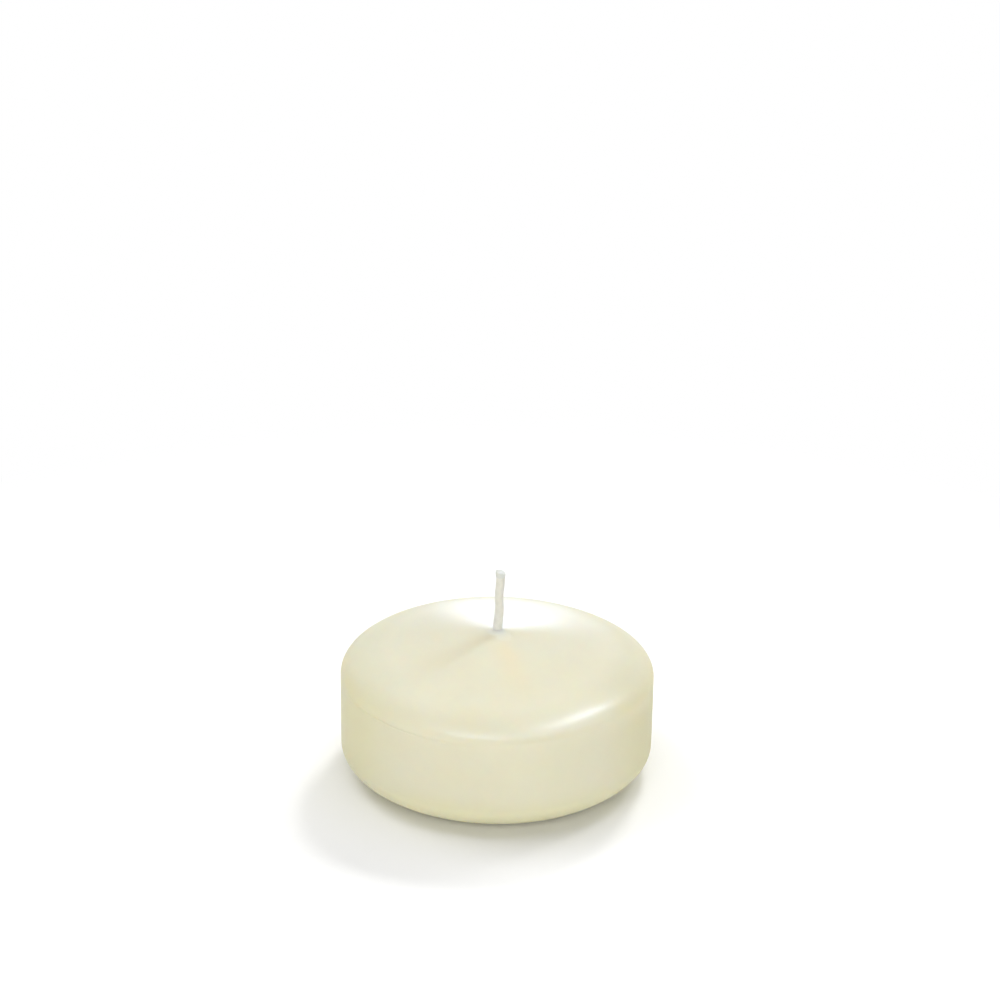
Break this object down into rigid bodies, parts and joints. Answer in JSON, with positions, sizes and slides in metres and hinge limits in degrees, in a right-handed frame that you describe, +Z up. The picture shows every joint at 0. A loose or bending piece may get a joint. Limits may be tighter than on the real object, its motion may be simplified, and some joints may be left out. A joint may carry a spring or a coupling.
{
  "type": "floating candle",
  "caption": "Round disc-shaped floating candle in cream wax, with a rounded foot, a rolled shoulder, a low conical crown and a short waxed wick held by a metal tab underneath.",
  "frame": {"origin": "centre of the flat underside, which is the centre of the bottom of the box", "axes": "+Z up along the candle's axis and its wick; the wick leans towards +X; the picture looks along +Y and down"},
  "size_m": [0.0762, 0.0762, 0.0531],
  "materials": {
    "candle_wax": "smooth cream paraffin wax with a soft satin sheen, slightly translucent",
    "waxed_cotton": "plaited cotton primed with wax",
    "tinned_steel": "thin tin-plated sheet, satin bright"
  },
  "bodies": {
    "root": {"wax_body": "candle_wax", "wick": "waxed_cotton", "wick_tab": "tinned_steel"}
  },
  "joints": []
}
